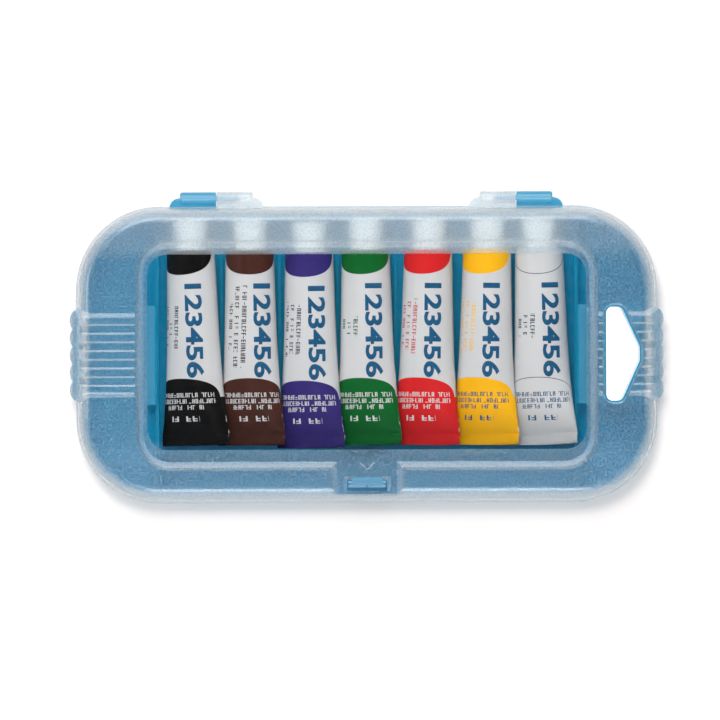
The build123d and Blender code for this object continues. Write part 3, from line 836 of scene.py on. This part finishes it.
def small_print(tree, run, rise, line, middle, half, size, seed):
    """A line of small print. Run goes along the line and rise across it, both in mm."""
    height = size[1]
    ink = letters(tree, run, calculate(tree, "SUBTRACT", rise, line - height / 2), size, seed)
    printed = chance(tree, seed + space_seed, letter_share, run, size[0])
    row = within(tree, rise, line, height / 2)
    return product(tree, row, within(tree, run, middle, half), ink, printed)


print("strokes in a letter: up to", len(letter_stems) + len(letter_bars))

# %% [markdown]
# Each tube has its own paint and ink, and lies a little turned, so those are a small table. Seven separate
# labels would say the same things over and over: the layout is the same on all of them, and is given once.

# %% Layout of the label, in mm
white_ink = (0.62, 0.62, 0.625, 1)
blue_ink = (0.008, 0.083, 0.185, 1)
moon_reach = 7.8
moon_half_width = 12.0
block_start = 43.0
block_depth = 6.5
block_half_width = 13.0
print_middle = 25.5
upright_lines = (-1.4, -4.0, -6.4)
upright_size = (1.15, 1.5)
block_middle = 1.2
level_lines = ((48.7, 9.25), (50.8, 9.4), (52.9, 5.5))
level_size = (0.92, 1.5)
capacity_line = (56.8, 4.0)
capacity_size = (1.7, 1.8)
upright_seed, level_seed, capacity_seed = 1.0, 11.0, 21.0

# paint, ink of the small print, turn in mm, and the half lengths of the upright lines
labels = {
    "black": ((0.004, 0.0035, 0.0035, 1), (0.012, 0.012, 0.013, 1), -3.4, (7.3, 2.5, 7.0)),
    "sienna": ((0.062, 0.02, 0.014, 1), (0.02, 0.012, 0.01, 1), 0.1, (14.0, 13.7, 7.9)),
    "blue": ((0.036, 0.024, 0.16, 1), (0.014, 0.016, 0.05, 1), -1.6, (8.7, 8.3, 9.2)),
    "green": ((0.003, 0.12, 0.022, 1), (0.008, 0.11, 0.03, 1), -1.5, (3.4, 2.6, 3.0)),
    "red": ((0.66, 0.018, 0.02, 1), (0.52, 0.05, 0.05, 1), -2.2, (9.3, 8.3, 7.2)),
    "yellow": ((0.93, 0.47, 0.01, 1), (0.85, 0.5, 0.1, 1), -2.4, (9.0, 8.6, 9.5)),
    "white": (white_ink, (0.02, 0.04, 0.09, 1), -0.7, (4.1, 3.7, 3.4)),
}
print("labels:", list(labels))

# %% [markdown]
# The half moon is an ellipse round the shoulder's top line, and the block begins with a shallow arc. Both
# could be separate masks, but one distance serves for both: below 0 is colour, and 0 is the edge between
# colour and white, where the white tube has its thin outline.

# %% Edges of the colour
def label_place(tree, turn):
    """Place on the foil in mm: round it from the label's middle, and along it from the shoulder."""
    u, v, _ = split(tree, place_on(tree, "UV"))
    around = product(tree, calculate(tree, "SUBTRACT", u, 0.5 + turn / girth), girth)
    along = product(tree, calculate(tree, "SUBTRACT", 1.0, v), sleeve_length / mm)
    return around, along


def squared_share(tree, value, whole):
    """The square of a value's share of the whole, as the formula of an ellipse has it."""
    return square(tree, calculate(tree, "DIVIDE", value, whole))


def colour_edge(tree, around, along):
    """Distance in mm outside the half moon and the block: below 0 inside either."""
    wide = squared_share(tree, around, moon_half_width)
    deep = squared_share(tree, along, moon_reach)
    radius = calculate(tree, "SQRT", calculate(tree, "ADD", wide, deep))
    moon = product(tree, calculate(tree, "SUBTRACT", radius, 1.0), moon_reach)
    side = squared_share(tree, around, block_half_width)
    rise = calculate(tree, "SQRT", calculate(tree, "SUBTRACT", 1.0, side, clamp=True))
    arc = calculate(tree, "MULTIPLY_ADD", rise, -block_depth, block_start + block_depth)
    return calculate(tree, "MINIMUM", moon, calculate(tree, "SUBTRACT", arc, along))


print("half moon in mm:", 2 * moon_half_width, "by", moon_reach, "and the block from", block_start)

# %% [markdown]
# The lines of print are gathered in two masks, one for each ink. Each line could be mixed in by itself, but
# lines never cross, so the larger of their masks is all of them at once.

# %% Lines of print
def upright_print(tree, around, along, halves):
    """The three upright lines beside the numbers."""
    mask = 0.0
    for i, (line, half) in enumerate(zip(upright_lines, halves)):
        row = small_print(tree, along, around, line, print_middle, half, upright_size, upright_seed + i)
        mask = largest(tree, row, mask)
    return mask


def level_print(tree, around, along):
    """The lines across the block of colour."""
    line, half = capacity_line
    mask = small_print(tree, around, along, line, block_middle, half, capacity_size, capacity_seed)
    for i, (line, half) in enumerate(level_lines):
        row = small_print(tree, around, along, line, block_middle, half, level_size, level_seed + i)
        mask = largest(tree, row, mask)
    return mask


print("lines of small print on a tube:", len(upright_lines) + len(level_lines) + 1)

# %% [markdown]
# ## The foil
# The foil is a laminate with a satin film. It has long shallow creases along the tube where it was squeezed,
# and its gloss varies a little with handling. White specks are painted at one corner of the fold as a glint
# of light on its curl. A cloth simulation could crease a real sheet, but creases as shallow as these show
# only as shading, and for that a bump is enough.

# %% Creases and a painted glint
crease_size = (2.2 * mm, 22 * mm, 5 * mm)
crease_strength, crease_depth = 0.5, 0.25 * mm
film_grain, film_share = 0.5 * mm, 0.08
# painted glint: its white, where it lies round and along the foil in mm, and the size of its specks
glint_white = (0.75, 0.75, 0.74, 1)
glint_middle, glint_half, glint_fade = 11.7, 0.7, 0.2
glint_along, glint_along_half, glint_along_fade = 59.5, 4.0, 0.5
specks_per_mm, speck_stretch = 1.3, 0.35
speck_start, speck_end = 0.57, 0.62


def foil_relief(tree):
    """The creases from 0 to 1, and the surface tilted by them and by the film's fine grain."""
    place = place_on(tree)
    scale = tuple(1 / size for size in crease_size)
    stretched = add(tree, "ShaderNodeMapping", {"Vector": place, "Scale": scale}).outputs[0]
    creases = noise(tree, stretched, 1.0)
    height = calculate(tree, "MULTIPLY_ADD", noise(tree, place, film_grain), film_share, creases)
    return creases, bumps(tree, height, crease_strength, crease_depth)


def painted_glints(tree, around, along, turn):
    """Painted glint: white specks at the right-hand corner of the fold, where the foil curls up."""
    inputs = {0: around, 1: product(tree, along, speck_stretch), 2: turn}
    place = add(tree, "ShaderNodeCombineXYZ", inputs).outputs[0]
    specks = step(tree, noise(tree, place, 1 / specks_per_mm), speck_start, speck_end)
    from_top = calculate(tree, "ADD", around, turn)
    at_side = within(tree, from_top, glint_middle, glint_half, glint_fade)
    at_fold = within(tree, along, glint_along, glint_along_half, glint_along_fade)
    return product(tree, specks, at_side, at_fold)


print("creases in mm:", [round(size / mm, 1) for size in crease_size])

# %% [markdown]
# The colours are laid one over another: white ground and paint colour, the small print, a painted shade
# where the foil turns down to the fold, the level lines, and last a painted glint of white specks at one
# corner of the fold, over them all. The print follows the order in which a press would print it. One
# material for all seven tubes would need masks to tell them apart, so each tube has its own, made by the
# same function.

# %% Foil material
outline_half = 0.11
# painted shade towards the fold: where it starts and ends along the tube in mm, and the share of the paint's
# colour left
painted_shade_from, painted_shade_to, painted_shade_share = 50.0, 64.0, 0.7
crease_low, crease_high = 0.3, 0.7
film_smooth, film_dull = 0.3, 0.42


def foil_colour(tree, name, around, along):
    """The colours of one tube's label, from the ground up."""
    paint, ink, turn, lines = labels[name]
    edge = colour_edge(tree, around, along)
    coloured = step(tree, edge, -edge_softness, edge_softness, 1.0, 0.0)
    colour = blend(tree, coloured, white_ink, paint)
    if name == "white":
        colour = blend(tree, within(tree, edge, 0.0, outline_half), colour, ink)
    colour = blend(tree, upright_print(tree, around, along, lines), colour, ink)
    # painted shade: the paint darkens towards the fold, where the foil turns down away from the light
    painted_shade_colour = tuple(painted_shade_share * part for part in paint[:3]) + (1,)
    at_fold = product(tree, step(tree, along, painted_shade_from, painted_shade_to), coloured)
    colour = blend(tree, at_fold, colour, painted_shade_colour)
    block_ink = blue_ink if name in ("yellow", "white") else white_ink
    colour = blend(tree, level_print(tree, around, along), colour, block_ink)
    # painted glint of white specks, over everything
    return blend(tree, painted_glints(tree, around, along, turn), colour, glint_white)


def foil_material(name):
    """Printed foil with one tube's label."""
    material, tree = new_tree("foil_" + name)
    colour = foil_colour(tree, name, *label_place(tree, labels[name][2]))
    creases, relief = foil_relief(tree)
    roughness = step(tree, creases, crease_low, crease_high, film_smooth, film_dull)
    shader = add(tree, "ShaderNodeBsdfPrincipled", {
        "Base Color": colour, "Roughness": roughness,
        "Normal": relief, "Specular IOR Level": 0.12}).outputs[0]
    return finish_material(material, tree, shader)


foils = {name: foil_material(name) for name in colours}
print("nodes in a foil's material:", len(foils["white"].node_tree.nodes))

# %% [markdown]
# ## Seven sleeves in their places
# The sleeve was modelled once. Each tube gets a copy with its own mesh, turned and moved to where its cap's
# screw axis says that its shoulder is. Linked copies would be lighter, but all seven would then be alike.

# %% Copies of a piece
def tube_place(name):
    """Matrix from the sleeve's own axes to the tube's place, read from the joint of its cap."""
    joint = next(joint for joint in frame["joints"] if joint["name"] == f"cap_{name}_turn")
    forward = Vector(joint["axis"])
    side = forward.cross(Vector((0, 0, 1)))
    turned = Matrix((side, forward, (0, 0, 1))).transposed().to_4x4()
    return Matrix.Translation(joint["pos_m"]) @ turned


def copy_to(master, name, place):
    """A copy with its own mesh, whose place is in the mesh."""
    pick_only(master)
    bpy.ops.object.duplicate(linked=False)
    piece = bpy.context.object
    piece.name = name
    piece.data.name = name
    piece.matrix_world = place
    bpy.ops.object.transform_apply(location=True, rotation=True, scale=True)
    return piece


shoulders = [round(tube_place(name).translation.x / mm, 1) for name in colours]
print("tubes lie at x, in mm:", shoulders)

# %% [markdown]
# Soft foil keeps the marks of fingers. Sculpting them seven times would take long, so a displacement dents
# each copy by where it lies: no two are dented alike. A vertex group leaves the stiff shoulder round, and
# the dents grow towards the fold.

# %% Dents
dent_depth = 0.35 * mm
dent_size = 7 * mm
dent_rest = 0.62
soft_start, soft_span = 0.3, 0.4
smooth_angle = math.radians(50)

dents = bpy.data.textures.new("dents", "CLOUDS")
dents.noise_scale = dent_size
dents.noise_depth = 1


def mark_soft_end(piece):
    """A vertex group that grows from nothing at the middle of the tube to full before the fold."""
    group = piece.vertex_groups.new(name="soft")
    for point in piece.data.vertices:
        share = (-point.co.y - soft_start * sleeve_length) / (soft_span * sleeve_length)
        group.add([point.index], min(max(share, 0.0), 1.0), "REPLACE")


def dent(piece):
    """Dents the foil, and applies the dents to the mesh."""
    pick_only(piece)
    modifier = piece.modifiers.new("dents", "DISPLACE")
    modifier.texture = dents
    modifier.texture_coords = "GLOBAL"
    modifier.strength = dent_depth
    modifier.mid_level = dent_rest
    modifier.vertex_group = "soft"
    bpy.ops.object.modifier_apply(modifier=modifier.name)
    piece.vertex_groups.clear()
    bpy.ops.object.shade_smooth_by_angle(angle=smooth_angle)


print("dents:", round(dent_depth / mm, 2), "mm deep and", round(dent_size / mm, 1), "mm wide")

# %% [markdown]
# The foil sleeves take the place of the plain ones that came with the hard parts. Those could have been bent
# and printed themselves, but their loose triangles have no UV map to print on. Each new sleeve rides on the
# base, so that it stays with the tray when the lid opens.

# %% The seven sleeves
mark_soft_end(sleeve_master)
sleeves = {}
for name in colours:
    sleeve = copy_to(sleeve_master, f"sleeve_foil_{name}", tube_place(name))
    dent(sleeve)
    sleeve.data.materials.append(foils[name])
    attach(sleeve, "base")
    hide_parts(f"tube_{name}_sleeve")
    sleeves[name] = sleeve
print("sleeves:", len(sleeves))

# %% [markdown]
# ## Plain numbers
# Large upright numbers run down each tube, a plain scale of what is left in it. They could be part of the
# label's nodes, but good figures are hard to draw with arithmetic. So they are cut from flat text, which
# becomes a mesh and is brought to its size above a tube.

# %% Numbers, flat
number_text = "123456"
number_weight = 0.03
number_height = 5.95 * mm
number_middle = 25.9 * mm
number_length = 32.0 * mm
number_line = 3.6 * mm
curve_steps = 6


def number_master():
    """The flat numbers above a tube, reading from its shoulder to its fold."""
    bpy.ops.object.select_all(action="DESELECT")
    bpy.ops.object.text_add()
    text = bpy.context.object
    text.data.body = number_text
    text.data.align_x = "CENTER"
    text.data.align_y = "CENTER"
    text.data.offset = number_weight
    text.data.resolution_u = curve_steps
    bpy.ops.object.convert(target="MESH")
    flat = bpy.context.object
    low, high = (Vector(corner) for corner in (flat.bound_box[0], flat.bound_box[6]))
    flat.scale = (number_length / (high.x - low.x), number_height / (high.y - low.y), 1)
    flat.location = (number_line, -number_middle, 2 * tube_radius)
    flat.rotation_euler = (0, 0, -math.pi / 2)
    bpy.ops.object.transform_apply(location=True, rotation=True, scale=True)
    return flat


numbers_flat = number_master()
print("numbers in mm:", [round(side / mm, 2) for side in numbers_flat.dimensions[:2]])

# %% [markdown]
# A flat figure has faces that run across its whole width, and they can't follow a round tube. A remesh would
# blur its corners. Cutting it into narrow bands, along and across, keeps the outline and lets it bend.

# %% Numbers, cut into bands
band = 0.7 * mm
join_distance = 0.005 * mm


def cut_bands(flat):
    """Cuts the flat numbers into bands along and across."""
    bpy.ops.object.mode_set(mode="EDIT")
    low = [min(v.co[i] for v in flat.data.vertices) for i in range(2)]
    high = [max(v.co[i] for v in flat.data.vertices) for i in range(2)]
    for axis, width in ((0, band), (1, 2 * band)):
        normal = [0, 0, 0]
        normal[axis] = 1
        for i in range(1, int((high[axis] - low[axis]) / width) + 1):
            place = [0, 0, 0]
            place[axis] = low[axis] + i * width
            bpy.ops.mesh.select_all(action="SELECT")
            bpy.ops.mesh.bisect(plane_co=place, plane_no=normal)
    bpy.ops.mesh.select_all(action="SELECT")
    bpy.ops.mesh.remove_doubles(threshold=join_distance)
    bpy.ops.mesh.normals_make_consistent(inside=False)
    bpy.ops.object.mode_set(mode="OBJECT")


cut_bands(numbers_flat)
print("number faces:", len(numbers_flat.data.polygons))

# %% [markdown]
# Printed ink is never quite even on foil. One flat blue would do from afar, but a little mottle between two
# blues looks like ink.

# %% Ink of the numbers
pale_ink = (0.013, 0.105, 0.22, 1)
mottle_size = 0.6 * mm
mottle_low, mottle_high = 0.3, 0.75

material, tree = new_tree("number_ink")
mottle = noise(tree, place_on(tree), mottle_size, detail=3.0)
ink = blend(tree, step(tree, mottle, mottle_low, mottle_high), blue_ink, pale_ink)
shader = add(tree, "ShaderNodeBsdfPrincipled", {
    "Base Color": ink, "Roughness": 0.4, "Specular IOR Level": 0.2}).outputs[0]
number_ink = finish_material(material, tree, shader)
print("number ink:", blue_ink[:3], "to", pale_ink[:3])

# %% [markdown]
# The figures are dropped on the dented foil by a shrinkwrap that looks straight down, as a stamp would press
# them, and then get the thickness of a film of ink. A shrinkwrap to the nearest surface would pull their
# sides in.

# %% Numbers on the foil
ink_lift = 0.02 * mm


def lay_on(piece, sleeve):
    """Drops the flat numbers on the foil and gives them the thickness of ink."""
    pick_only(piece)
    wrap = piece.modifiers.new("lay", "SHRINKWRAP")
    wrap.target = sleeve
    wrap.wrap_method = "PROJECT"
    wrap.use_project_z = True
    wrap.use_negative_direction = True
    wrap.use_positive_direction = False
    wrap.offset = ink_lift
    bpy.ops.object.modifier_apply(modifier=wrap.name)
    thick = piece.modifiers.new("ink", "SOLIDIFY")
    thick.thickness = ink_lift
    thick.offset = 0
    bpy.ops.object.modifier_apply(modifier=thick.name)


for name in colours:
    turn = Matrix.Translation((labels[name][2] * mm, 0, 0))
    numbers = copy_to(numbers_flat, f"numbers_{name}", tube_place(name) @ turn)
    lay_on(numbers, sleeves[name])
    numbers.data.materials.append(number_ink)
    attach(numbers, "base")
for master in (sleeve_master, numbers_flat):
    bpy.data.objects.remove(master)
print("numbers laid on", len(colours), "tubes")

# %% [markdown]
# ## Caps, nozzles and paint
# The caps and nozzles are moulded in white polythene, which is a little waxy: light goes a short way in.
# Plain white would look like chalk, so some light is let under the surface. A fine orange peel from the
# mould breaks up their highlights.

# %% White mouldings
mould_cloud = 3 * mm
mould_low, mould_high = 0.3, 0.7
mould_shade = 0.93
peel_size = 0.4 * mm
peel_strength, peel_depth = 0.2, 0.03 * mm


def moulded_white(name, colour, roughness):
    """Waxy white plastic, a little cloudy, with the faint orange peel of a mould."""
    material, tree = new_tree(name)
    place = place_on(tree)
    darker = tuple(mould_shade * part for part in colour[:3]) + (1,)
    cloud = step(tree, noise(tree, place, mould_cloud, detail=3.0), mould_low, mould_high)
    tone = blend(tree, cloud, colour, darker)
    relief = bumps(tree, noise(tree, place, peel_size), peel_strength, peel_depth)
    shader = add(tree, "ShaderNodeBsdfPrincipled", {
        "Base Color": tone, "Roughness": roughness, "Normal": relief, "Subsurface Weight": 0.25,
        "Subsurface Radius": (1, 1, 1), "Subsurface Scale": 0.6 * mm}).outputs[0]
    return finish_material(material, tree, shader)


cap_white = moulded_white("cap_white", (0.83, 0.835, 0.83, 1), 0.38)
nozzle_white = moulded_white("nozzle_white", (0.8, 0.8, 0.79, 1), 0.45)
for name in colours:
    parts[f"tube_{name}_cap"].material_slots[0].material = cap_white
    parts[f"tube_{name}_nozzle"].material_slots[0].material = nozzle_white
print("caps and nozzles finished:", 2 * len(colours))

# %% [markdown]
# The paint in the tubes is a wet paste. It could be left as one flat colour, as the closed tubes hide it,
# but a tube shown cut open should show the paste that it holds: glossy, with paler swirls.

# %% Wet paint
swirl_size = 2 * mm
swirl_low, swirl_high = 0.4, 0.8
swirl_strength, swirl_depth = 0.4, 0.2 * mm
pale_share, pale_lift = 0.85, 0.03


def wet_paint(name):
    """A glossy paste in the tube's colour, with paler swirls."""
    material, tree = new_tree("paint_" + name)
    swirl = noise(tree, place_on(tree), swirl_size, detail=4.0)
    paint = labels[name][0]
    pale = tuple(pale_share * part + pale_lift for part in paint[:3]) + (1,)
    tone = blend(tree, step(tree, swirl, swirl_low, swirl_high), paint, pale)
    shader = add(tree, "ShaderNodeBsdfPrincipled", {
        "Base Color": tone, "Roughness": 0.22,
        "Normal": bumps(tree, swirl, swirl_strength, swirl_depth)}).outputs[0]
    return finish_material(material, tree, shader)


for name in colours:
    parts[f"tube_{name}_paint"].material_slots[0].material = wet_paint(name)
print("paints:", len(colours))

# %% [markdown]
# ## Colours
# The last step shows colours as they are, without a film look.

# %% The last line
bpy.context.scene.view_settings.view_transform = "Standard"
